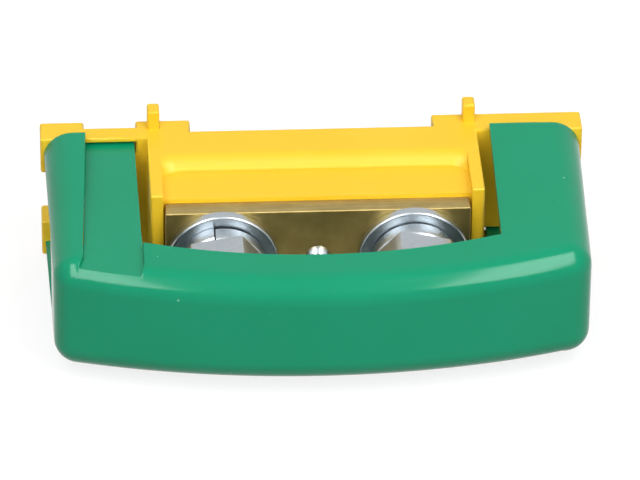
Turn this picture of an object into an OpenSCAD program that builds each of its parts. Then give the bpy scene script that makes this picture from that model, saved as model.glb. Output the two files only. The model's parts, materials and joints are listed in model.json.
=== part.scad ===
// Protective-earth terminal block: a moulded base with a rail foot, a brass busbar with
// two screw clamps, and a cover that clips on and leaves the cable sides open.
// Frame: +X to the right, -Y to the front (the covered side), +Z up. The part lies on its
// lower side, with the mounting plane at the back. Depths are measured forward from the
// mounting plane, heights from the middle plane of the block.

/* [Base] */
// Length of the base
base_l = 79; // [72:0.5:90]
// Height of the base, along the rail
base_h = 20; // [19:0.1:22]
// Thickness of the mounting flange
flange_t = 4.6; // [4:0.1:5.2]
// Depth of the seat that carries the busbar
seat_d = 18.8; // [17.5:0.1:22]
// Thickness of the end ribs beside the busbar
rib_t = 1.8; // [1.4:0.1:2.2]
// Depth of the end ribs
rib_d = 20.5; // [19:0.1:23]
// Depth at which the top and bottom recesses start
recess_d = 11.6; // [9:0.1:13]
// How deep the top and bottom recesses are
recess_t = 1.7; // [1:0.1:1.9]
// Radius of the rounded edge behind a recess
recess_edge_r = 3; // [2:0.1:4]
// Corner radius of a recess
recess_corner_r = 2.4; // [1:0.1:4]

/* [Mounting] */
// Width of the open screw slots in both ends
slot_w = 8.4; // [5.5:0.1:9]
// Distance from the base's end to the screw
slot_reach = 7.5; // [6:0.1:9]
// Width of the rail that the foot fits
rail_w = 35; // [30:0.5:36]
// Room for the rail in the groove
rail_clear = 0.3; // [0.2:0.1:1.6]
// Depth of the rail groove
rail_d = 3.1; // [2.6:0.1:3.5]
// How far the hook and the latch reach over the rail's edges
lip_reach = 1.3; // [0.8:0.1:2]
// Thickness of the hook and the latch
lip_t = 1.9; // [1.2:0.1:2.2]
// Height of the hook and the latch
lip_h = 13; // [8:0.5:15]
// Thickness of the springy bar that carries the latch
latch_bar_t = 2; // [1.4:0.1:2.4]
// Width of the slot that frees the latch
latch_slot_w = 1.1; // [0.8:0.1:1.5]

/* [Stacking pegs] */
// Distance between the two pegs
peg_pitch = 46; // [44:0.2:48]
// Width of a peg
peg_w = 1.8; // [1.2:0.1:2.4]
// Depth of a peg
peg_d = 2.6; // [1.8:0.1:3.2]
// Height of a peg
peg_h = 3; // [2:0.1:4]
// Room around a peg in its socket
peg_clear = 0.2; // [0.1:0.05:0.4]

/* [Busbar] */
// Length of the busbar
bar_l = 43.8; // [43:0.2:45]
// Thickness of the busbar
bar_t = 3; // [2:0.5:4]
// Height of the busbar
bar_h = 15.4; // [14:0.1:17]
// Gap between the busbar and the end ribs
bar_gap = 0.3; // [0.2:0.05:0.6]
// Distance between the two clamp bolts
bolt_pitch = 27.5; // [25:0.1:28]

/* [Clamp bolts] */
// Thread diameter of the clamp bolts
thread_d = 8; // [6:1:8]
// Length of a bolt under its head
bolt_l = 16; // [14:1:18]
// Width across flats of the heads and nuts
hex_af = 13; // [11:0.5:13.2]
// Height of a bolt head
head_h = 5.3; // [4:0.1:6]
// Height of a captive nut
nut_h = 6.5; // [5:0.1:7]
// Outer diameter of a flat washer
washer_d = 16; // [14.6:0.2:17]
// Thickness of a flat washer
washer_t = 1.6; // [1:0.1:2]
// Outer diameter of a spring washer
spring_d = 14.2; // [13:0.1:14.8]
// Thickness of a spring washer
spring_t = 2; // [1.5:0.1:2.2]
// How far the raised end of a spring washer stands up
spring_lift = 1.2; // [0.2:0.1:2]
// Extra diameter of the holes that a bolt passes through
hole_clear = 0.5; // [0.2:0.1:0.8]
// Extra diameter of a nut's bore over the thread
thread_clear = 0.1; // [0.05:0.01:0.16]
// Extra width of a nut's pocket
pocket_clear = 0.2; // [0.1:0.05:0.4]

/* [Bar pin] */
// Diameter of the pin that fixes the busbar to the base
pin_d = 2; // [1.6:0.1:2.4]
// Length of the pin behind the busbar's face
pin_l = 9; // [6:0.5:10]
// Diameter of the pin's round head
pin_head_d = 3.5; // [3:0.1:4.5]
// Height of the pin's round head
pin_head_h = 1.3; // [0.8:0.1:1.6]

/* [Cover] */
// Length of the cover at the flange
cover_l = 78.4; // [76:0.2:80]
// Height of the cover at the flange
cover_h = 22.2; // [21.2:0.1:24]
// Length of the cover at its front
cover_front_l = 76.2; // [73:0.2:78]
// Height of the cover at its front
cover_front_h = 16.5; // [15.4:0.1:19]
// Depth from the mounting plane to the front of the cover
cover_d = 42.4; // [41:0.1:47]
// How far the front of the cover bows out
front_bow = 6.5; // [3:0.1:8]
// Wall of the cover
wall = 1.4; // [1.2:0.1:2.4]
// Radius of the cover's front edges
edge_r = 3.6; // [3:0.1:4.4]
// Radius of the cover's rear corners
rear_corner_r = 4.3; // [3.4:0.1:5]
// Length of the cut-outs in the upper and lower sides, at the flange
cut_l = 51.7; // [50.5:0.1:53]
// Length of the cut-outs at their front corners
cut_front_l = 51; // [50:0.1:52]
// Width of the band between a cut-out and the front
band_w = 7.6; // [6.8:0.1:9]
// How far the front edge of a cut-out bows out
cut_bow = 3.8; // [1:0.1:4.5]
// Height of the cable openings in the ends
cable_h = 15.4; // [12:0.2:15.6]
// Depth of the cable openings
cable_d = 23.4; // [18:0.1:24]
// Corner radius of the cable openings
cable_r = 4; // [2:0.5:6]

/* [Snap tongues] */
// How far a tongue lies below the cover's side at the flange
tongue_drop = 2.4; // [1.8:0.1:2.8]
// Width of a snap tongue at its tip
tongue_w = 7; // [6:0.1:7.6]
// Width of a snap tongue at its root
tongue_root_w = 8; // [7:0.1:8.4]
// Thickness of a snap tongue
tongue_t = 1.4; // [1.2:0.1:2.2]
// Slit between a tongue's tip and the cover's arm
slit_w = 0.3; // [0.2:0.05:0.6]
// Slit between a tongue's root and the cover's arm
slit_root_w = 0.1; // [0.05:0.05:0.3]
// Height of the barb at a tongue's tip
barb_h = 0.3; // [0.2:0.05:0.5]
// Distance from the mounting plane to a tongue's tip
tip_d = 0.6; // [0.4:0.1:0.9]
// Thickness of the flange that a barb hooks behind
catch_t = 2.9; // [2.2:0.1:3.2]
// Room around a tongue in its window
tongue_clear = 0.25; // [0.15:0.05:0.4]

/* [Hidden] */

$fn = 64;
// How far a cut reaches past the face that it opens
over = 1;
// Thickness of the land that a hull starts from
land = 0.1;

base_colour = "#f6cf33";
cover_colour = "#2aa57d";
brass_colour = "#b08d4a";
zinc_colour = "#c3c8cf";

// The mounting plane and the middle plane in the part's frame
rear_y = cover_d / 2;
mid_z = max(cover_h, base_h) / 2;

// Stack of the clamps, as depths from the mounting plane
bar_front_d = seat_d + bar_t;
washer_front_d = bar_front_d + washer_t;
head_back_d = washer_front_d + spring_t + spring_lift;
tip_gap = 1.2;
bolt_tip_d = head_back_d - bolt_l;
nut_back_d = seat_d - nut_h;
// Turn of each bolt head and of each spring washer's split, seen from the front
head_turns = [10, 47.6];
split_turns = [101, 250];
split_angle = 5;

rib_x = bar_l / 2 + bar_gap;
recess_z = base_h / 2 - recess_t;
recess_run = sqrt(recess_edge_r ^ 2 - (recess_edge_r - recess_t) ^ 2);
slot_x = base_l / 2 - slot_reach;
groove_x = (rail_w + rail_clear) / 2;
// Hollows that keep the moulding's walls even behind the clamps
core_wall = 2.2;
core_l = groove_x - lip_reach - core_wall / 2;
core_r = 1.5;

// The cover's flat sides close in towards its front
side_slope = (cover_h - cover_front_h) / 2 / (cover_d - flange_t);
end_slope = (cover_l - cover_front_l) / 2 / (cover_d - flange_t);
bow_r = (cover_front_l ^ 2 / 4 + front_bow ^ 2) / (2 * front_bow);
bow_steps = 8;
bow_edge_r = bow_r - edge_r;
bow_end_x = end_x(cover_d - front_bow) - edge_r;
bow_angle = asin(bow_end_x / bow_edge_r);
cut_d = cover_d - band_w;
cut_r = (cut_front_l ^ 2 / 4 + cut_bow ^ 2) / (2 * cut_bow);

// A tongue lies level, and the cover's side comes down to it near the front
tongue_z = cover_h / 2 - tongue_drop;
tongue_in_x = cut_l / 2;
tongue_out_x = tongue_in_x + tongue_w;
root_in_x = cut_front_l / 2;
root_out_x = tongue_in_x + tongue_root_w;
tongue_root_d = bow_d(root_out_x) - edge_r;
slit_d = tongue_root_d - 2 * wall;
catch_d = flange_t - catch_t;

// Height of the cover's side and reach of its end at a depth
function side_z(d) = cover_h / 2 - side_slope * (d - flange_t);
function end_x(d) = cover_l / 2 - end_slope * (d - flange_t);
// Depth of the bowed front at a distance from the middle
function bow_d(x) = cover_d - bow_r + sqrt(bow_r ^ 2 - x ^ 2);

// A point given by its distance to the right, its depth and its height over the middle
module at(x = 0, d = 0, z = 0) {
    translate([x, rear_y - d, mid_z + z]) children();
}

// A block between two distances to the right, two depths and two heights
module slab(x0, x1, d0, d1, z0, z1) {
    at(x0, d1, z0) cube([x1 - x0, d1 - d0, z1 - z0]);
}

// Stands a shape drawn from the front at a depth, with its own height forward
module forward(x, d) {
    at(x, d) rotate([90, 0, 0]) children();
}

// A shape in plan, with depth drawn downwards, raised between two heights
module raised(z0, z1) {
    at(0, 0, z0) linear_extrude(z1 - z0) children();
}

// A side profile, with depth drawn to the left, drawn out between two distances
module drawn_out(x0, x1) {
    at(x0) rotate([90, 0, 90]) linear_extrude(x1 - x0) children();
}

// The same shape twice, half a turn apart about the depth axis
module half_turn_pair() {
    for (turn = [0, 180]) {
        at(0, rear_y) rotate([0, turn, 0]) at(0, rear_y, -2 * mid_z) children();
    }
}

// The same shape above and below the middle plane
module mirrored_below() {
    children();
    translate([0, 0, 2 * mid_z]) mirror([0, 0, 1]) children();
}

// A rectangle about the origin with round corners
module round_rect(w, h, r) {
    square([w - 2 * r, h], center = true);
    square([w, h - 2 * r], center = true);
    for (x = [-1, 1], y = [-1, 1]) {
        translate([x * (w / 2 - r), y * (h / 2 - r)]) circle(r);
    }
}

// What is left of a square corner outside a round edge of a recess
module edge_cutter(start) {
    difference() {
        translate([start, -recess_t]) square([recess_run, recess_t + over]);
        translate([start + recess_run, -recess_edge_r]) circle(recess_edge_r);
    }
}

// A recess in the upper side: a floor with round corners and a rounded edge behind it
module recess() {
    centre_x = rib_x - recess_corner_r;
    centre_d = recess_d + recess_corner_r;
    raised(recess_z, base_h / 2 + over) {
        translate([-centre_x, -seat_d - over]) square([2 * centre_x, seat_d + over - recess_d]);
        translate([-rib_x, -seat_d - over]) square([2 * rib_x, seat_d + over - centre_d]);
        for (side = [-1, 1]) {
            translate([side * centre_x, -centre_d]) circle(recess_corner_r);
        }
    }
    at(0, 0, base_h / 2) translate([-centre_x, -recess_d, 0]) rotate([90, 0, 90])
        linear_extrude(2 * centre_x) edge_cutter(0);
    intersection() {
        slab(-rib_x, rib_x, 0, centre_d, 0, base_h);
        for (side = [-1, 1]) {
            at(side * centre_x, centre_d, base_h / 2) rotate_extrude() edge_cutter(recess_corner_r);
        }
    }
}

// Groove for the rail, with a fixed hook on the left and a springy latch on the right
module rail_groove() {
    left = -groove_x;
    right = groove_x;
    difference() {
        slab(left, right, -over, rail_d, -base_h, base_h);
        drawn_out_lip(left, 1);
        drawn_out_lip(right, -1);
    }
    slab(right + latch_bar_t, right + latch_bar_t + latch_slot_w, -over, flange_t,
        -lip_h / 2 - over, lip_h / 2 + over);
}

// A lip over the rail's edge, bevelled on the side that the rail is pushed past
module drawn_out_lip(x, way) {
    raised(-lip_h / 2, lip_h / 2) {
        polygon([
            [x - way * over, over],
            [x, 0],
            [x + way * lip_reach, -lip_t / 2],
            [x + way * lip_reach, -lip_t],
            [x - way * over, -lip_t],
        ]);
    }
}

// Open slot for a mounting screw in one end
module screw_slot(side) {
    forward(side * slot_x, -over) {
        linear_extrude(flange_t + 2 * over) {
            circle(d = slot_w);
            translate([side * (slot_reach + over) / 2, 0]) {
                square([slot_reach + over, slot_w], center = true);
            }
        }
    }
}

// Window for a cover tongue, with the notch that its barb hooks into
module tongue_window() {
    x0 = -tongue_out_x - tongue_clear;
    x1 = -tongue_in_x + tongue_clear;
    floor_z = tongue_z - tongue_t - tongue_clear;
    slab(x0, x1, -over, flange_t + over, floor_z, tongue_z + barb_h + tongue_clear / 2);
    slab(x0, x1, -over, catch_d, floor_z, base_h / 2 + over);
}

// Pocket for a captive nut, with a bore for the bolt's tip and a hollow behind it
module nut_seat(side) {
    forward(side * bolt_pitch / 2, nut_back_d) {
        hexagon(hex_af + pocket_clear, nut_h + over);
    }
    forward(side * bolt_pitch / 2, bolt_tip_d - tip_gap) {
        cylinder(h = nut_back_d - bolt_tip_d + tip_gap + over, d = thread_d + 2 * hole_clear);
    }
    forward(side * (core_wall + core_l) / 2, 0) {
        linear_extrude(bolt_tip_d - tip_gap - core_wall) round_rect(core_l, lip_h, core_r);
    }
}

// A hexagon with two corners level, given by its width across flats
module hexagon(af, h) {
    cylinder(h = h, d = af / cos(30), $fn = 6);
}

// A hexagon whose corners are turned off at both ends or only at the front one
module turned_hexagon(af, h, both) {
    bevel = af * (1 / cos(30) - 1) / 2;
    drop = bevel * tan(30);
    reach = af / 2 + bevel;
    intersection() {
        hexagon(af, h);
        rotate_extrude() {
            polygon([
                [0, 0],
                [both ? af / 2 : reach, 0],
                [reach, both ? drop : 0],
                [reach, h - drop],
                [af / 2, h],
                [0, h],
            ]);
        }
    }
}

// A stacking peg, or its socket when it is made larger by some room, between two heights
module peg_slab(side, room, d0, z0, z1) {
    x = side * peg_pitch / 2;
    half = peg_w / 2 + room;
    slab(x - half, x + half, d0, peg_d + room, z0, z1);
}

module base() {
    color(base_colour) difference() {
        union() {
            slab(-base_l / 2, base_l / 2, 0, flange_t, -base_h / 2, base_h / 2);
            slab(-rib_x, rib_x, 0, seat_d, -base_h / 2, base_h / 2);
            for (side = [-1, 1]) {
                x = side * (rib_x + rib_t / 2);
                slab(x - rib_t / 2, x + rib_t / 2, 0, rib_d, -base_h / 2, base_h / 2);
                peg_slab(side, 0, 0, 0, base_h / 2 + peg_h);
            }
        }
        mirrored_below() recess();
        rail_groove();
        half_turn_pair() tongue_window();
        for (side = [-1, 1]) {
            screw_slot(side);
            nut_seat(side);
            peg_slab(side, peg_clear, -over, -base_h, peg_h + peg_clear - base_h / 2);
        }
        forward(0, bar_front_d - pin_l) cylinder(h = pin_l, d = pin_d);
    }
}

// The cover's outer form, or its hollow when it is set in by the wall
module cover_form(inset) {
    open = inset > 0 ? over : 0;
    hull() {
        for (x = [-1, 1], z = [-1, 1]) {
            at(x * (cover_l / 2 - rear_corner_r), flange_t - open, z * (cover_h / 2 - rear_corner_r)) {
                rotate([90, 0, 0]) cylinder(h = land + open, r = rear_corner_r - inset, $fn = 40);
            }
        }
        for (step = [-bow_steps : bow_steps], z = [-1, 1]) {
            turn = bow_angle * step / bow_steps;
            d = cover_d - bow_r + bow_edge_r * cos(turn);
            at(bow_edge_r * sin(turn), d, z * (side_z(d) - edge_r)) sphere(edge_r - inset, $fn = 32);
        }
    }
}

// Cut-outs in the upper and lower sides, with a bowed front edge
module side_cuts() {
    raised(-cover_h, cover_h) intersection() {
        polygon([
            [-cut_l / 2, -flange_t],
            [-cut_l / 2, 0],
            [cut_l / 2, 0],
            [cut_l / 2, -flange_t],
            [cut_front_l / 2, cut_bow - cut_d],
            [cut_front_l / 2, -cut_d],
            [-cut_front_l / 2, -cut_d],
            [-cut_front_l / 2, cut_bow - cut_d],
        ]);
        translate([0, cut_r - cut_d]) circle(cut_r, $fn = 256);
    }
}

// Openings in both ends, through which the cables leave
module cable_openings() {
    drawn_out(-cover_l, cover_l) {
        translate([-flange_t - cable_d / 2 + cable_r, 0])
            round_rect(cable_d + 2 * cable_r, cable_h, cable_r);
    }
}

// Where the cover's side is cut away for its tongue and lowered to the tongue's root
module tongue_clearing() {
    raised(0, cover_h) {
        polygon([
            [-cut_l / 2 + wall, 0],
            [-cut_l / 2 + wall, -slit_d],
            [-root_out_x - slit_root_w, -slit_d],
            [-tongue_out_x - slit_w, -flange_t],
            [-tongue_out_x - slit_w, 0],
        ]);
    }
    raised(tongue_z, cover_h) {
        polygon([
            [-root_in_x, -slit_d + land],
            [-root_in_x, -cover_d],
            [-root_out_x - slit_root_w, -cover_d],
            [-root_out_x - slit_root_w, -slit_d + land],
        ]);
    }
}

// A level tongue that widens to its root, with a barb on its upper face
module tongue() {
    raised(tongue_z - tongue_t, tongue_z) {
        polygon([
            [-tongue_in_x, -tip_d],
            [-tongue_in_x, -flange_t],
            [-root_in_x, cut_bow - cut_d],
            [-root_in_x, -tongue_root_d],
            [-root_out_x, -tongue_root_d],
            [-root_out_x, -slit_d],
            [-tongue_out_x, -flange_t],
            [-tongue_out_x, -tip_d],
        ]);
    }
    drawn_out(-tongue_out_x, -tongue_in_x) {
        polygon([
            [-tip_d, tongue_z - barb_h],
            [-tip_d, tongue_z],
            [-catch_d + land, tongue_z + barb_h],
            [-catch_d + land, tongue_z - barb_h],
        ]);
    }
}

module cover() {
    color(cover_colour) {
        difference() {
            cover_form(0);
            cover_form(wall);
            side_cuts();
            cable_openings();
            half_turn_pair() tongue_clearing();
        }
        half_turn_pair() tongue();
    }
}

module busbar() {
    color(brass_colour) difference() {
        slab(-bar_l / 2, bar_l / 2, seat_d, bar_front_d, -bar_h / 2, bar_h / 2);
        for (side = [-1, 1]) {
            forward(side * bolt_pitch / 2, seat_d - over) {
                cylinder(h = bar_t + 2 * over, d = thread_d + hole_clear);
            }
        }
        forward(0, seat_d - over) cylinder(h = bar_t + 2 * over, d = pin_d);
    }
}

// Grooved pin with a round head, driven through the busbar into the base
module bar_pin() {
    ball_r = (pin_head_d ^ 2 / 4 + pin_head_h ^ 2) / (2 * pin_head_h);
    color(zinc_colour) {
        forward(0, bar_front_d - pin_l) cylinder(h = pin_l, d = pin_d);
        forward(0, bar_front_d) rotate_extrude() intersection() {
            square([pin_head_d, pin_head_h]);
            translate([0, pin_head_h - ball_r]) circle(ball_r);
        }
    }
}

// Hexagon bolt with a turned tip; side 0 is the left one and side 1 the right one
module clamp_bolt(side) {
    tip_bevel = thread_d / 12;
    color(zinc_colour) {
        forward((side - 0.5) * bolt_pitch, head_back_d) {
            rotate(head_turns[side]) turned_hexagon(hex_af, head_h, false);
        }
        forward((side - 0.5) * bolt_pitch, bolt_tip_d) rotate_extrude() {
            polygon([
                [0, 0],
                [thread_d / 2 - tip_bevel, 0],
                [thread_d / 2, tip_bevel],
                [thread_d / 2, bolt_l],
                [0, bolt_l],
            ]);
        }
    }
}

// Split ring of square section that climbs from one end to the other
module spring_washer(side) {
    steps = 48;
    inner_r = (thread_d + hole_clear) / 2;
    section = [[inner_r, 0], [spring_d / 2, 0], [spring_d / 2, spring_t], [inner_r, spring_t]];
    points = [
        for (step = [0 : steps], corner = section)
            let (turn = split_turns[side] + split_angle / 2 + (360 - split_angle) * step / steps)
                [corner[0] * cos(turn), corner[0] * sin(turn), corner[1] + spring_lift * step / steps]
    ];
    sides = [
        for (step = [0 : steps - 1], edge = [0 : 3])
            let (next = (edge + 1) % 4)
                [4 * step + edge, 4 * step + next, 4 * step + 4 + next, 4 * step + 4 + edge]
    ];
    color(zinc_colour) forward((side - 0.5) * bolt_pitch, washer_front_d) {
        polyhedron(points, concat([[3, 2, 1, 0]], sides, [[for (corner = [0 : 3]) 4 * steps + corner]]));
    }
}

// Punched ring, rounded off at its front edge
module flat_washer(side) {
    rim = washer_t / 5;
    inner_r = (thread_d + hole_clear) / 2;
    color(zinc_colour) forward((side - 0.5) * bolt_pitch, bar_front_d) rotate_extrude() {
        polygon([
            [inner_r, 0],
            [washer_d / 2, 0],
            [washer_d / 2, washer_t - rim],
            [washer_d / 2 - rim, washer_t],
            [inner_r, washer_t],
        ]);
    }
}

module clamp_nut(side) {
    color(zinc_colour) forward((side - 0.5) * bolt_pitch, nut_back_d) difference() {
        turned_hexagon(hex_af, nut_h, true);
        translate([0, 0, -over]) cylinder(h = nut_h + 2 * over, d = thread_d + thread_clear);
    }
}

base();
cover();
busbar();
bar_pin();
clamp_bolt(0);  // clamp_bolt_left
clamp_bolt(1);  // clamp_bolt_right
spring_washer(0);  // spring_washer_left
spring_washer(1);  // spring_washer_right
flat_washer(0);  // flat_washer_left
flat_washer(1);  // flat_washer_right
clamp_nut(0);  // clamp_nut_left
clamp_nut(1);  // clamp_nut_right
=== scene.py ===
"""Looks of a protective-earth terminal block: yellow base, green cover, brass bar, zinc-plated clamps."""

import json
import math

import bmesh
import bpy
from mathutils import Matrix, Quaternion, Vector

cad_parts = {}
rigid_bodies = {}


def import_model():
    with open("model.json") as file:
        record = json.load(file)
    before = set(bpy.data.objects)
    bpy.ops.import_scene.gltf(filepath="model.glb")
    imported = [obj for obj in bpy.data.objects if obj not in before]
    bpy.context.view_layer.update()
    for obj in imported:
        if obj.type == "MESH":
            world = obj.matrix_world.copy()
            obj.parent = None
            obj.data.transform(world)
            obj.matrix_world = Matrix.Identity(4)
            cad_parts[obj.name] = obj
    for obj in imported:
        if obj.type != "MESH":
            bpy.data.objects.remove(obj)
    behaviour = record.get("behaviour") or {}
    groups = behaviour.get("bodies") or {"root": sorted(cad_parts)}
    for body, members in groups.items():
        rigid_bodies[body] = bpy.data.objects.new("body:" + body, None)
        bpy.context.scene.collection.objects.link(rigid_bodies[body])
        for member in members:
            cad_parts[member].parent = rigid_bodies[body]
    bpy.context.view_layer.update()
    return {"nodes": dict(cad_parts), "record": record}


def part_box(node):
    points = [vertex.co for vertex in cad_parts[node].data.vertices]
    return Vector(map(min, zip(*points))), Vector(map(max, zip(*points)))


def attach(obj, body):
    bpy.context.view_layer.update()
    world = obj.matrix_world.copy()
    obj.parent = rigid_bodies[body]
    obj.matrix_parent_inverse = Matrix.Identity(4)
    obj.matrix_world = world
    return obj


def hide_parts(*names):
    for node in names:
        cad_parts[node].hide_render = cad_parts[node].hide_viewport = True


MM = 0.001

for leftover in list(bpy.data.objects):
    bpy.data.objects.remove(leftover)
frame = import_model()
nodes = frame["nodes"]
record = frame["record"]
slot_of = {subpart["node"]: subpart["material_slot"] for subpart in record["subparts"]}
body_of = {node: body for body, members in record["behaviour"]["bodies"].items() for node in members}

# Planes that the pieces and the photograph's camera are set from
BACK_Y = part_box("base")[1].y
MID_Z = (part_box("cover")[0].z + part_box("cover")[1].z) / 2


# Colours and nodes


def linear(code):
    """Turns an sRGB hex colour into linear red, green, blue and full alpha."""
    parts = [int(code[i : i + 2], 16) / 255 for i in (1, 3, 5)]
    return tuple(c / 12.92 if c <= 0.04045 else ((c + 0.055) / 1.055) ** 2.4 for c in parts) + (1.0,)


def add_node(tree, kind, sockets=None, **settings):
    """Adds a node, with its settings, and sets or links its input sockets."""
    node = tree.nodes.new(kind)
    for name, value in settings.items():
        setattr(node, name, value)
    for name, value in (sockets or {}).items():
        if isinstance(value, bpy.types.NodeSocket):
            tree.links.new(value, node.inputs[name])
        else:
            node.inputs[name].default_value = value
    return node


def start_material(name):
    """A new material with an empty tree, and its coordinates in metres."""
    material = bpy.data.materials.new(name)
    material.use_nodes = True
    tree = material.node_tree
    tree.nodes.clear()
    return material, tree, add_node(tree, "ShaderNodeTexCoord")


def end_material(tree, shader):
    add_node(tree, "ShaderNodeOutputMaterial", {"Surface": shader.outputs[0]})


def per_mm(size):
    """Texture scale at which a pattern repeats about every size millimetres."""
    return 1 / (size * MM)


# Materials


def moulded_yellow():
    """Polyamide from a satin tool: even warm yellow, soft highlights, a faint pebble in the surface."""
    material, tree, coords = start_material("moulded_yellow_polyamide")
    place = coords.outputs["Object"]
    clouds = add_node(tree, "ShaderNodeTexNoise", {"Vector": place, "Scale": per_mm(14), "Detail": 3.0})
    tint = add_node(
        tree, "ShaderNodeMix",
        {"Factor": clouds.outputs["Fac"], 6: linear("#fbca24"), 7: linear("#fdd338")},
        data_type="RGBA",
    )
    # The satin's grit is finer than this, and is drawn coarse enough to show
    pebble = add_node(tree, "ShaderNodeTexNoise", {"Vector": place, "Scale": per_mm(0.35), "Detail": 2.0})
    bump = add_node(
        tree, "ShaderNodeBump", {"Height": pebble.outputs["Fac"], "Strength": 0.25, "Distance": 0.02 * MM}
    )
    shader = add_node(
        tree, "ShaderNodeBsdfPrincipled",
        {"Base Color": tint.outputs[2], "Roughness": 0.42, "Specular IOR Level": 0.3,
         "Normal": bump.outputs["Normal"]},
    )
    end_material(tree, shader)
    return material


def moulded_green():
    """Polyamide from a polished tool: deep green with a clear gloss and a soft orange peel.

    Faint flow marks cloud its colour, and a few specks of dust lie on it.
    """
    material, tree, coords = start_material("moulded_green_polyamide")
    place = coords.outputs["Object"]
    clouds = add_node(tree, "ShaderNodeTexNoise", {"Vector": place, "Scale": per_mm(18), "Detail": 3.0})
    tint = add_node(
        tree, "ShaderNodeMix",
        {"Factor": clouds.outputs["Fac"], 6: linear("#029267"), 7: linear("#0b9a72")},
        data_type="RGBA",
    )
    # Specks up to 0.35 mm across, wherever the point of a 5 mm cell happens to lie on the surface
    cells = add_node(tree, "ShaderNodeTexVoronoi", {"Vector": place, "Scale": per_mm(5)})
    speck = add_node(tree, "ShaderNodeMath", {0: cells.outputs["Distance"], 1: 0.035}, operation="LESS_THAN")
    dusted = add_node(
        tree, "ShaderNodeMix",
        {"Factor": speck.outputs[0], 6: tint.outputs[2], 7: linear("#6fc0a0")},
        data_type="RGBA",
    )
    peel = add_node(tree, "ShaderNodeTexNoise", {"Vector": place, "Scale": per_mm(1.6), "Detail": 2.0})
    bump = add_node(
        tree, "ShaderNodeBump", {"Height": peel.outputs["Fac"], "Strength": 0.2, "Distance": 0.02 * MM}
    )
    shader = add_node(
        tree, "ShaderNodeBsdfPrincipled",
        {"Base Color": dusted.outputs[2], "Roughness": 0.15, "Specular IOR Level": 0.2,
         "Normal": bump.outputs["Normal"]},
    )
    end_material(tree, shader)
    return material


def rolled_brass():
    """Brass cut from rolled bar: dull olive-gold faces with stains, and paler edges.

    The saw has left lines along the edges.
    """
    material, tree, coords = start_material("rolled_brass")
    place = coords.outputs["Object"]
    mottle = add_node(tree, "ShaderNodeTexNoise", {"Vector": place, "Scale": per_mm(2.5), "Detail": 4.0})
    face = add_node(
        tree, "ShaderNodeMix",
        {"Factor": mottle.outputs["Fac"], 6: linear("#8a7640"), 7: linear("#c0a768")},
        data_type="RGBA",
    )
    # The saw's lines lie closer than this, and are drawn coarse enough to show
    along = add_node(tree, "ShaderNodeMapping", {"Vector": place, "Scale": (0.05, 1, 1)})
    lines = add_node(
        tree, "ShaderNodeTexNoise", {"Vector": along.outputs[0], "Scale": per_mm(0.45), "Detail": 3.0}
    )
    marks = add_node(
        tree, "ShaderNodeMix",
        {"Factor": 0.4, 2: lines.outputs["Fac"], 3: mottle.outputs["Fac"]},
        data_type="FLOAT",
    )
    sawn = add_node(
        tree, "ShaderNodeMix",
        {"Factor": marks.outputs[0], 6: linear("#736035"), 7: linear("#cab97f")},
        data_type="RGBA",
    )
    # Faces look to the front or the back, and edges to the sides
    facing = add_node(tree, "ShaderNodeSeparateXYZ", {0: coords.outputs["Normal"]})
    depth = add_node(tree, "ShaderNodeMath", {0: facing.outputs["Y"]}, operation="ABSOLUTE")
    is_face = add_node(tree, "ShaderNodeMath", {0: depth.outputs[0], 1: 0.7}, operation="GREATER_THAN")
    tint = add_node(
        tree, "ShaderNodeMix",
        {"Factor": is_face.outputs[0], 6: sawn.outputs[2], 7: face.outputs[2]},
        data_type="RGBA",
    )
    gloss = add_node(tree, "ShaderNodeMapRange", {"Value": is_face.outputs[0], "To Min": 0.5, "To Max": 0.45})
    shader = add_node(
        tree, "ShaderNodeBsdfPrincipled",
        {"Base Color": tint.outputs[2], "Metallic": 1.0, "Roughness": gloss.outputs["Result"]},
    )
    end_material(tree, shader)
    return material


def bright_zinc():
    """Zinc-plated steel: bright metal with a faint cool cast, finely clouded under the plating."""
    material, tree, coords = start_material("bright_zinc_plated_steel")
    # The plating's grain is finer than this, and is drawn coarse enough to show
    grain = add_node(
        tree, "ShaderNodeTexNoise", {"Vector": coords.outputs["Object"], "Scale": per_mm(0.6), "Detail": 3.0}
    )
    tint = add_node(
        tree, "ShaderNodeMix",
        {"Factor": grain.outputs["Fac"], 6: linear("#a3aaaf"), 7: linear("#bcc3c8")},
        data_type="RGBA",
    )
    gloss = add_node(
        tree, "ShaderNodeMapRange", {"Value": grain.outputs["Fac"], "To Min": 0.27, "To Max": 0.37}
    )
    shader = add_node(
        tree, "ShaderNodeBsdfPrincipled",
        {"Base Color": tint.outputs[2], "Metallic": 1.0, "Roughness": gloss.outputs["Result"]},
    )
    end_material(tree, shader)
    return material


finishes = {
    "base_plastic": moulded_yellow(),
    "cover_plastic": moulded_green(),
    "brass": rolled_brass(),
    "zinc_steel": bright_zinc(),
}
for name, node in nodes.items():
    node.data.materials.clear()
    node.data.materials.append(finishes[slot_of[name]])


# Pieces made in place of the plain solids
# Their meshes are in millimetres: to the right, backwards from the mounting plane, up from the middle


def add_piece(name, mesh, node, sharp=35):
    """Makes an object of a mesh, with flat faces kept flat, that takes the place of a CAD node."""
    bmesh.ops.recalc_face_normals(mesh, faces=mesh.faces)
    bmesh.ops.scale(mesh, vec=(MM, MM, MM), verts=mesh.verts)
    bmesh.ops.translate(mesh, vec=(0, BACK_Y, MID_Z), verts=mesh.verts)
    data = bpy.data.meshes.new(name)
    mesh.to_mesh(data)
    mesh.free()
    data.shade_smooth()
    data.set_sharp_from_angle(angle=math.radians(sharp))
    data.materials.append(finishes[slot_of[node]])
    piece = bpy.data.objects.new(name, data)
    bpy.context.scene.collection.objects.link(piece)
    piece.modifiers.new("flat_faces_kept_flat", "WEIGHTED_NORMAL").keep_sharp = True
    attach(piece, body_of[node])
    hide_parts(node)


# Moulded cover
# Its points are given in millimetres: to the right, forward from the mounting plane, up from the middle

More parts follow.
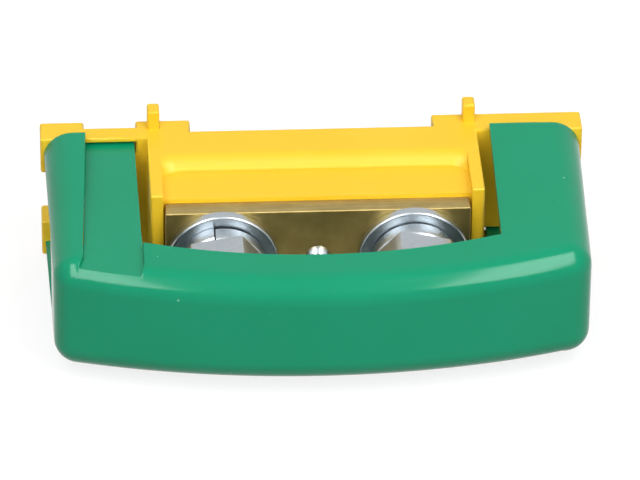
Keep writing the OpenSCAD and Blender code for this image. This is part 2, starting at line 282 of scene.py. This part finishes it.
COVER_HALF_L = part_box("cover")[1].x / MM
COVER_HALF_H = (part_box("cover")[1].z - MID_Z) / MM
COVER_D = (BACK_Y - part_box("cover")[0].y) / MM
RIM_D, WALL = 4.6, 1.4
FRONT_HALF_L, FRONT_HALF_H, FRONT_BOW = 38.1, 8.25, 6.5
EDGE_R, REAR_CORNER_R = 3.6, 4.3
CUT_REAR_X, CUT_FRONT_X, CUT_BOW, BAND_W = 25.85, 25.5, 3.8, 7.6
CABLE_Z, CABLE_FLAT_D, CABLE_R = 7.7, 24.0, 4.0
TONGUE_Z, TONGUE_DIP = COVER_HALF_H - 2.4, 0.9
# Edges beside the slit: of a tongue, of the shell's faces in line with it, and of the arm across from it
TONGUE_REAR_X = 33.0
ROOT_REAR_X, ROOT_FRONT_X = 32.85, 33.85
SLIT_REAR_X, SLIT_FRONT_X = 32.88, 33.88
# Width of the step from a tongue's inner edge up to the band
BAND_GAP = 0.1
# The edges above a tongue are rounded: distance from the edge, and how far the surface has sunk there
STEP_EDGE = [(0.2, 0.0), (0.06, 0.06), (0.0, 0.2)]
# The barb at a tongue's rear end: depth, and rise over the tongue
BARB = [(0.6, 0.0), (1.6, 0.3), (1.65, 0.0)]
# The rims are rounded, save the shortest edges, which the rounding would fold
RIM_EDGE_R, SHORTEST_RIM = 0.08, 0.2

SIDE_SLOPE = (COVER_HALF_H - FRONT_HALF_H) / (COVER_D - RIM_D)
END_SLOPE = (COVER_HALF_L - FRONT_HALF_L) / (COVER_D - RIM_D)
BOW_R = (FRONT_HALF_L**2 + FRONT_BOW**2) / (2 * FRONT_BOW)
CORE_R = BOW_R - EDGE_R
CUT_D = COVER_D - BAND_W
CUT_R = (CUT_FRONT_X**2 + CUT_BOW**2) / (2 * CUT_BOW)
CUT_CORNER_D = CUT_D - CUT_BOW
# Rows of points beside the cable opening, beside the rest of the cut-out, in the band and over the front edge
OPENING_ROWS, CUT_ROWS, BAND_ROWS, EDGE_ROWS = 4, 6, 8, 9
# Steps across a tongue, along the band, round an end's corner and round a cable opening's corner
TONGUE_STEPS, BAND_STEPS, CORNER_STEPS, CABLE_STEPS = 8, 32, 7, 4
# Sinks a line as far as the tongue's level
TO_TONGUE = math.inf


def core_depth(x):
    """Depth of the line that the round front edge turns about."""
    return COVER_D - BOW_R + math.sqrt(CORE_R**2 - x**2)


CORE_END_X = COVER_HALF_L - END_SLOPE * (COVER_D - FRONT_BOW - RIM_D) - EDGE_R
CORE_END_D = core_depth(CORE_END_X)


def side_height(d):
    return COVER_HALF_H - SIDE_SLOPE * (d - RIM_D)


def taper(d):
    """Share of its height at the rim that the cover has at a depth."""
    return side_height(d) / COVER_HALF_H


def tongue_height(d):
    return TONGUE_Z - TONGUE_DIP * max(0.0, d - RIM_D) / (COVER_D - RIM_D)


def row_depths(opening_d, cut_d, core_d):
    """Depths of the rows behind the front edge, the same number of them on every line."""
    stops = [(0, RIM_D), (OPENING_ROWS, opening_d), (CUT_ROWS, cut_d), (BAND_ROWS, core_d)]
    depths = [RIM_D]
    for (row, d), (next_row, next_d) in zip(stops, stops[1:]):
        steps = next_row - row
        depths += [d + (next_d - d) * (i + 1) / steps for i in range(steps)]
    return depths


def round_edge(x, z, out_x, out_z):
    """Points over the front edge, about a point of its core line, from an outward direction to the front."""
    d = core_depth(x)
    front_x, front_d = x / CORE_R, (d - COVER_D + BOW_R) / CORE_R
    span = math.acos(out_x * front_x)
    points = []
    for row in range(1, EDGE_ROWS + 1):
        turn = span * row / EDGE_ROWS
        out = EDGE_R * math.sin(span - turn) / math.sin(span)
        ahead = EDGE_R * math.sin(turn) / math.sin(span)
        points.append((x + out * out_x + ahead * front_x, d + ahead * front_d, z + out * out_z))
    return points


def end_line(side, z, corner_share=0.0):
    """Points from the rim to the front along an end, at a height of the rim or part way round its corner."""
    above = max(0.0, z - CABLE_Z + CABLE_R)
    opening_d = CABLE_FLAT_D + math.sqrt(max(0.0, CABLE_R**2 - above**2))
    points = []
    for d in row_depths(opening_d, CUT_CORNER_D, CORE_END_D):
        share = (d - RIM_D) / (CORE_END_D - RIM_D)
        radius = REAR_CORNER_R + (EDGE_R - REAR_CORNER_R) * share
        centre_x = COVER_HALF_L + (CORE_END_X + EDGE_R - COVER_HALF_L) * share - radius
        centre_z = side_height(d) - radius
        height = z * taper(d)
        turn = math.asin(min(1.0, max(0.0, (height - centre_z) / radius)))
        turn += (math.pi / 2 - turn) * corner_share
        level = min(height, centre_z)
        points.append((side * (centre_x + radius * math.cos(turn)), d, level + radius * math.sin(turn)))
    # The last row's level and turn carry on over the front edge
    points += round_edge(side * CORE_END_X, level, side * math.cos(turn), math.sin(turn))
    in_opening = OPENING_ROWS if z < CABLE_Z and not corner_share else 0
    return [None] * in_opening + points[in_opening:]


def top_line(front_x, rear_x, first_row=0, sink=0.0):
    """Points from a row to the front along the upper side, sunk by a depth down to the tongue's level."""
    cut_d = CUT_D - CUT_R + math.sqrt(CUT_R**2 - min(abs(front_x), CUT_FRONT_X) ** 2)
    points = []
    for d in row_depths(CABLE_FLAT_D, cut_d, core_depth(front_x)):
        share = min(1.0, (d - RIM_D) / (CUT_CORNER_D - RIM_D))
        points.append((rear_x + (front_x - rear_x) * share, d, side_height(d)))
    points += round_edge(front_x, points[-1][2] - EDGE_R, 0, 1)
    points = [(x, d, max(z - sink, min(z, tongue_height(d)))) for x, d, z in points]
    return [None] * first_row + points[first_row:]


def spread(start, end, steps):
    """Numbers from start to end, closer together towards both, where narrow faces follow."""
    return [start + (end - start) * (1 - math.cos(math.pi * i / steps)) / 2 for i in range(steps + 1)]


def half_cover():
    """Rows of points for the upper half: the shell from end to end, the tongue and the front."""
    flat = CABLE_Z - CABLE_R
    turns = [math.radians(90 * i / CABLE_STEPS) for i in range(1, CABLE_STEPS + 1)]
    heights = [0, flat / 2, flat] + [flat + CABLE_R * math.sin(turn) for turn in turns]
    corner = [i / CORNER_STEPS for i in range(1, CORNER_STEPS)]
    left, right = (
        [end_line(side, z) for z in heights] + [end_line(side, CABLE_Z, share) for share in corner]
        for side in (-1, 1)
    )
    arm = [(CORE_END_X, COVER_HALF_L - REAR_CORNER_R, 0.0)]
    arm += [(SLIT_FRONT_X + away, SLIT_REAR_X + away, sink) for away, sink in STEP_EDGE]
    fronts = spread(ROOT_FRONT_X, CUT_FRONT_X, TONGUE_STEPS)
    root, blade = (
        list(zip(fronts, spread(rear_x, CUT_REAR_X, TONGUE_STEPS))) for rear_x in (ROOT_REAR_X, TONGUE_REAR_X)
    )
    band_edge = [(CUT_FRONT_X - BAND_GAP - away, sink) for away, sink in reversed(STEP_EDGE)]
    band = spread(-band_edge[-1][0], band_edge[-1][0], BAND_STEPS)[1:-1]
    tops = [top_line(-front, -rear, 0, sink) for front, rear, sink in arm]
    tops += [top_line(-front, -rear, CUT_ROWS, TO_TONGUE) for front, rear in root]
    tops += [top_line(-x, -x, CUT_ROWS, sink) for x, sink in band_edge]
    tops += [top_line(x, x, CUT_ROWS) for x in band]
    tops += [top_line(x, x, CUT_ROWS) for x, _ in reversed(band_edge)]
    tops += [top_line(front, rear) for front, rear in reversed(root)]
    tops += [top_line(front, rear) for front, rear, _ in reversed(arm)]
    shell = left + tops + right[::-1]

    tongue = [
        [(-rear, d, TONGUE_Z + rise) for d, rise in BARB]
        + top_line(-front, -rear, 0, TO_TONGUE)[: CUT_ROWS + 1]
        for front, rear in blade
    ]
    core_z = side_height(CORE_END_D) - EDGE_R
    levels = [z * taper(CORE_END_D) for z in heights]
    shares = [level / core_z for level in levels if level < core_z] + [1.0]
    front = [[(x, d, z * share) for share in shares] for x, d, z in (line[-1] for line in tops)]
    return [shell, tongue, front]


def add_quads(mesh, lines, turn):
    """Faces between neighbouring lines of points, where none is missing, for one half of the cover."""
    for one, other in zip(lines, lines[1:]):
        for a, b, c, d in zip(one, one[1:], other[1:], other):
            if None not in (a, b, c, d):
                mesh.faces.new([mesh.verts.new((turn * x, -deep, turn * z)) for x, deep, z in (a, b, c, d)])


def add_inside(mesh):
    """Gives a skin its wall: a second skin inside it, and rims between the two. Returns the rims' edges."""
    rims = [edge for edge in mesh.edges if edge.is_boundary]
    steps = {vert: vert.normal * WALL for vert in mesh.verts}
    copy = bmesh.ops.duplicate(mesh, geom=mesh.faces[:])
    inner = {vert: copy["vert_map"][vert] for vert in steps}
    for vert, step in steps.items():
        inner[vert].co -= step
    inner_faces = [face for face in copy["geom"] if isinstance(face, bmesh.types.BMFace)]
    bmesh.ops.reverse_faces(mesh, faces=inner_faces)
    for edge in rims:
        loop = edge.link_loops[0]
        start, end = loop.vert, loop.link_loop_next.vert
        mesh.faces.new((end, start, inner[start], inner[end]))
    return rims + [copy["edge_map"][edge] for edge in rims]


def make_cover():
    """The upper half and its image turned by half a turn, joined to one shell."""
    mesh = bmesh.new()
    for lines in half_cover():
        for turn in (1, -1):
            add_quads(mesh, lines, turn)
    bmesh.ops.remove_doubles(mesh, verts=mesh.verts, dist=0.005)
    bmesh.ops.recalc_face_normals(mesh, faces=mesh.faces)
    rims = add_inside(mesh)
    long_rims = [edge for edge in rims if edge.calc_length() > SHORTEST_RIM]
    bmesh.ops.bevel(mesh, geom=long_rims, offset=RIM_EDGE_R, segments=2, profile=0.5, affect="EDGES")
    add_piece("moulded_cover", mesh, "cover")


# Clamps: hexagon bolts, spring washers and flat washers

CLAMP_X = 13.75
BAR_FRONT_D = (BACK_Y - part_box("busbar")[0].y) / MM
WASHER_D, WASHER_T, BORE_R = 16.0, 1.6, 4.25
# The spring washers are drawn as a tightened bolt leaves them: nearly flat, with the split nearly closed
SPRING_D, SPRING_T, SPRING_LIFT, SPLIT_ANGLE = 13.0, 2.8, 0.4, 2.0
# Radii of a ring's corners: inner back, outer back, outer front and inner front
WASHER_RADII = (0.1, 0.15, 0.35, 0.2)
SPRING_RADII = (0.2, 0.25, 0.6, 0.2)
HEX_AF, HEAD_H, HEAD_EDGE = 13.0, 5.3, 0.12
# A head's front is turned to a cone outside this radius, at this angle
TURNED_R, TURNED_ANGLE = 6.35, 30
BOLT_L, THREAD_R, THREAD_ROOT_R, PITCH = 16.0, 4.0, 3.3, 1.25
SPRING_BACK_D = BAR_FRONT_D + WASHER_T
HEAD_BACK_D = SPRING_BACK_D + SPRING_T + SPRING_LIFT
# Side, turn of the head and turn of the spring washer's split, in degrees seen from the front
CLAMPS = {"left": (-1, 10.0, 101.0), "right": (1, 47.6, 250.0)}
# Steps round a ring, round one corner of its section and round a thread
RING_STEPS, SECTION_STEPS, THREAD_STEPS = 72, 4, 36
# Degrees between the points of a head's flat: three to each side of its middle, the last short of the corner
FLAT_STEP, FLAT_POINTS = 9.5, 3


def add_loops(mesh, loops, closed=False):
    """Faces between neighbouring closed loops of points, joined up or capped at the ends."""
    rings = [[mesh.verts.new(point) for point in loop] for loop in loops]
    for one, other in zip(rings, rings[1:] + rings[:1] if closed else rings[1:]):
        for i in range(len(one)):
            mesh.faces.new((one[i - 1], one[i], other[i], other[i - 1]))
    if not closed:
        mesh.faces.new(rings[0])
        mesh.faces.new(rings[-1])


def around(x, turn, reach, d):
    """A point about a clamp's axis at a turn in degrees, a distance from the axis and a depth."""
    angle = math.radians(turn)
    return (x + reach * math.cos(angle), -d, reach * math.sin(angle))


def rounded_section(inner, outer, back, front, radii):
    """A ring's section, as reach and depth, with a radius for each corner from the inner back one on."""
    corners = ((inner, back, 180), (outer, back, 270), (outer, front, 0), (inner, front, 90))
    points = []
    for (reach, d, start), radius in zip(corners, radii):
        centre = reach + radius * (1 if reach == inner else -1)
        level = d + radius * (1 if d == back else -1)
        for step in range(SECTION_STEPS + 1):
            angle = math.radians(start + 90 * step / SECTION_STEPS)
            points.append((centre + radius * math.cos(angle), level + radius * math.sin(angle)))
    return points


def make_flat_washer(name, side):
    """A punched ring whose front edge the punch rolled over."""
    section = rounded_section(BORE_R, WASHER_D / 2, BAR_FRONT_D, SPRING_BACK_D, WASHER_RADII)
    turns = [360 * i / RING_STEPS for i in range(RING_STEPS)]
    loops = [[around(side * CLAMP_X, turn, *point) for point in section] for turn in turns]
    mesh = bmesh.new()
    add_loops(mesh, loops, closed=True)
    add_piece("punched_washer_" + name, mesh, "flat_washer_" + name)


def make_spring_washer(name, side, split):
    """A coil of rolled wire, cut through, that climbs from one end to the other."""
    section = rounded_section(BORE_R, SPRING_D / 2, 0, SPRING_T, SPRING_RADII)
    loops = []
    for i in range(RING_STEPS + 1):
        turn = split + SPLIT_ANGLE / 2 + (360 - SPLIT_ANGLE) * i / RING_STEPS
        d = SPRING_BACK_D + SPRING_LIFT * i / RING_STEPS
        loops.append([around(side * CLAMP_X, turn, reach, d + level) for reach, level in section])
    mesh = bmesh.new()
    add_loops(mesh, loops)
    add_piece("spring_coil_" + name, mesh, "spring_washer_" + name, sharp=50)


def head_loops(x, turn):
    """Loops of points up a hexagon head, from its back to its turned front, with softened edges."""
    outline = []
    for flat in range(6):
        for step in range(-FLAT_POINTS, FLAT_POINTS + 1):
            a = FLAT_STEP * step
            outline.append((turn + 30 + 60 * flat + a, HEX_AF / 2 / math.cos(math.radians(a))))
    slope = math.tan(math.radians(TURNED_ANGLE))
    front = HEAD_BACK_D + HEAD_H
    profiles = [
        lambda r: (r - HEAD_EDGE, HEAD_BACK_D),
        lambda r: (r, HEAD_BACK_D + HEAD_EDGE),
        lambda r: (r, front - (r - TURNED_R) * slope - HEAD_EDGE),
        lambda r: (r - HEAD_EDGE, front - (r - HEAD_EDGE - TURNED_R) * slope),
        lambda r: (TURNED_R + HEAD_EDGE, front - HEAD_EDGE * slope),
        lambda r: (TURNED_R - HEAD_EDGE, front),
    ]
    return [[around(x, a, *profile(r)) for a, r in outline] for profile in profiles]


def make_bolt(name, side, turn):
    """A cold-headed bolt: hexagon head and rolled thread."""
    mesh = bmesh.new()
    add_loops(mesh, head_loops(side * CLAMP_X, turn))
    add_thread(mesh, side * CLAMP_X, HEAD_BACK_D - BOLT_L, HEAD_BACK_D)
    add_piece("hexagon_bolt_" + name, mesh, "clamp_bolt_" + name)


def add_thread(mesh, x, tip_d, head_d):
    """A right-hand thread: rows along the helix for crest and root, cut off at the tip and under the head."""
    # Share of the pitch and reach: a crest of an eighth, a flank, a root of a quarter, and a flank back
    shape = ((0.0, THREAD_R), (0.125, THREAD_R), (0.4375, THREAD_ROOT_R), (0.6875, THREAD_ROOT_R))
    turns = math.ceil((head_d - tip_d) / PITCH) + 1
    rows = [(winding + share, reach) for winding in range(-1, turns) for share, reach in shape]
    points = []
    for winding, reach in rows + [(turns, THREAD_R)]:
        row = []
        for i in range(THREAD_STEPS + 1):
            d = min(max(tip_d + (winding + i / THREAD_STEPS) * PITCH, tip_d), head_d)
            # The tip is chamfered from the root outwards
            row.append(around(x, 360 * i / THREAD_STEPS, min(reach, THREAD_ROOT_R + d - tip_d), d))
        points.append([mesh.verts.new(point) for point in row])
    for one, other in zip(points, points[1:]):
        for i in range(THREAD_STEPS):
            mesh.faces.new((one[i], one[i + 1], other[i + 1], other[i]))
    mesh.faces.new(points[0][:-1])
    mesh.faces.new(points[-1][:-1])
    bmesh.ops.remove_doubles(mesh, verts=mesh.verts, dist=0.001)
    bmesh.ops.dissolve_degenerate(mesh, edges=mesh.edges, dist=0.001)


make_cover()
for name, (side, head_turn, split_turn) in CLAMPS.items():
    make_flat_washer(name, side)
    make_spring_washer(name, side, split_turn)
    make_bolt(name, side, head_turn)


# Base and busbar: the solids' own faces, with their outer edges rounded

# Outer edges that turn by more than the first angle are rounded
# Faces that turn by less than the second one are joined
SQUARE_ANGLE, FLAT_ANGLE = 70, 0.4
# Where the recess in the base ends, and the height from which its corners start
RECESS_END_X, RECESS_CORNER_Z = 22.2, 8.2


def make_softened(name, node, radius, stays_sharp=lambda edge: False):
    """A copy of a solid whose outer square edges are rounded by a radius, save those that stay sharp."""
    mesh = bmesh.new()
    mesh.from_mesh(nodes[node].data)
    to_mm = Matrix.Scale(1 / MM, 4) @ Matrix.Translation((0, -BACK_Y, -MID_Z)) @ nodes[node].matrix_world
    bmesh.ops.transform(mesh, matrix=to_mm, verts=mesh.verts)
    bmesh.ops.remove_doubles(mesh, verts=mesh.verts, dist=0.002)
    bmesh.ops.dissolve_limit(mesh, angle_limit=math.radians(FLAT_ANGLE), verts=mesh.verts, edges=mesh.edges)
    square = [edge for edge in mesh.edges if edge.calc_face_angle_signed(0) > math.radians(SQUARE_ANGLE)]
    rounded = [edge for edge in square if not stays_sharp(edge)]
    lowest = min(vert.co.y for vert in mesh.verts)
    bmesh.ops.bevel(mesh, geom=rounded, offset=radius, segments=3, profile=0.5, affect="EDGES")
    # Where rounded edges meet, a corner can stand out: it goes back to the solid's front or back
    for vert in mesh.verts:
        vert.co.y = min(max(vert.co.y, lowest), 0.0)
    add_piece(name, mesh, node)


def on_recess(edge):
    """Tells the edges where a rib's inner wall runs out into a recess's corner."""
    return all(
        abs(abs(vert.co.x) - RECESS_END_X) < 0.01 and abs(vert.co.z) > RECESS_CORNER_Z for vert in edge.verts
    )


make_softened("moulded_base", "base", radius=0.35, stays_sharp=on_recess)
make_softened("sawn_busbar", "busbar", radius=0.2)


# Floor, lamps and camera


def seen_directly(tree):
    """A socket that is 1 for what the camera sees, also in gloss or through glass, and 0 for lighting."""
    path = add_node(tree, "ShaderNodeLightPath")
    seen = path.outputs["Is Camera Ray"]
    for kind in ("Is Glossy Ray", "Is Transmission Ray"):
        either = add_node(tree, "ShaderNodeMath", {0: seen, 1: path.outputs[kind]}, operation="MAXIMUM")
        seen = either.outputs[0]
    return seen


def make_floor():
    """A pale card just under the block, which takes its shadow."""
    half = 1.5
    mesh = bpy.data.meshes.new("floor")
    corners = [(-half, -half, 0), (half, -half, 0), (half, half, 0), (-half, half, 0)]
    mesh.from_pydata(corners, [], [(0, 1, 2, 3)])
    floor = bpy.data.objects.new("floor", mesh)
    bpy.context.scene.collection.objects.link(floor)
    floor.location.z = -0.02 * MM
    material, tree, _ = start_material("white_card")
    matte = add_node(tree, "ShaderNodeBsdfDiffuse", {"Color": linear("#909090")})
    level = add_node(tree, "ShaderNodeMath", {0: seen_directly(tree), 1: 0.8}, operation="MULTIPLY")
    glow = add_node(tree, "ShaderNodeEmission", {"Color": linear("#ffffff"), "Strength": level.outputs[0]})
    end_material(tree, add_node(tree, "ShaderNodeAddShader", {0: matte.outputs[0], 1: glow.outputs[0]}))
    floor.data.materials.append(material)


def make_world():
    """A pale tent that is brighter overhead, and plain white where it is seen."""
    world = bpy.data.worlds.new("studio")
    world.use_nodes = True
    tree = world.node_tree
    tree.nodes.clear()
    coords = add_node(tree, "ShaderNodeTexCoord")
    way = add_node(tree, "ShaderNodeSeparateXYZ", {0: coords.outputs["Generated"]})
    tent = add_node(tree, "ShaderNodeMapRange", {"Value": way.outputs["Z"], "To Min": 0.12, "To Max": 0.6})
    strength = add_node(
        tree, "ShaderNodeMix",
        {"Factor": seen_directly(tree), 2: tent.outputs["Result"], 3: 1.0},
        data_type="FLOAT",
    )
    sky = add_node(
        tree, "ShaderNodeBackground", {"Color": linear("#ffffff"), "Strength": strength.outputs[0]}
    )
    add_node(tree, "ShaderNodeOutputWorld", {"Surface": sky.outputs[0]})
    bpy.context.scene.world = world


def softbox(name, toward, size, power, distance=0.6, lean=0.0):
    """An area lamp in a direction from the block's middle, aimed at it: metres, watts and degrees."""
    lamp = bpy.data.lights.new(name, "AREA")
    lamp.shape = "RECTANGLE"
    lamp.size, lamp.size_y = size
    lamp.energy = power
    obj = bpy.data.objects.new(name, lamp)
    bpy.context.scene.collection.objects.link(obj)
    direction = Vector(toward).normalized()
    obj.location = Vector((0, 0, MID_Z)) + direction * distance
    aim = (-direction).to_track_quat("-Z", "Y")
    obj.rotation_euler = (aim @ Quaternion((0, 0, 1), math.radians(lean))).to_euler()
    return obj


def make_camera():
    """The photograph's camera: far off, long lens, a little left of the middle, looking down on the block."""
    azimuth, elevation, roll = (math.radians(a) for a in (-3.576, 33.186, 0.633))
    distance = 850 * MM
    target = Vector((0.268 * MM, BACK_Y - 21.8 * MM, MID_Z + 2.735 * MM))
    away = Vector((
        math.sin(azimuth) * math.cos(elevation),
        -math.cos(azimuth) * math.cos(elevation),
        math.sin(elevation),
    ))
    right = Vector((0, 0, 1)).cross(away).normalized()
    up = away.cross(right)
    rolled_right = right * math.cos(roll) + up * math.sin(roll)
    rolled_up = up * math.cos(roll) - right * math.sin(roll)
    lens = bpy.data.cameras.new("photo_camera")
    lens.sensor_width = 36
    lens.lens = 332.85
    lens.clip_start = 0.01
    camera = bpy.data.objects.new("photo_camera", lens)
    bpy.context.scene.collection.objects.link(camera)
    turn = Matrix((rolled_right, rolled_up, away)).transposed().to_4x4()
    camera.matrix_world = Matrix.Translation(target + away * distance) @ turn
    bpy.context.scene.camera = camera


make_floor()
make_world()
# Two lamps light the surfaces, and two leaning strips give the gloss its streaks
softbox("left_lamp", (-0.36, -0.6, 0.7), (0.13, 0.56), 1.3).visible_glossy = False
softbox("right_lamp", (0.42, -0.55, 0.72), (0.18, 0.56), 1.75).visible_glossy = False
softbox("left_strip", (-0.474, -0.516, 0.714), (0.2, 0.66), 3.9, lean=31.5).visible_diffuse = False
softbox("right_strip", (0.474, -0.516, 0.714), (0.2, 0.66), 4.2, lean=-31.5).visible_diffuse = False
# A broad fill from beside the camera reaches into the deep slots, and is kept out of the gloss
softbox("fill", (0.02, -0.84, 0.55), (0.6, 0.5), 2.2, 1.2).visible_glossy = False
make_camera()
bpy.context.scene.view_settings.view_transform = "Standard"
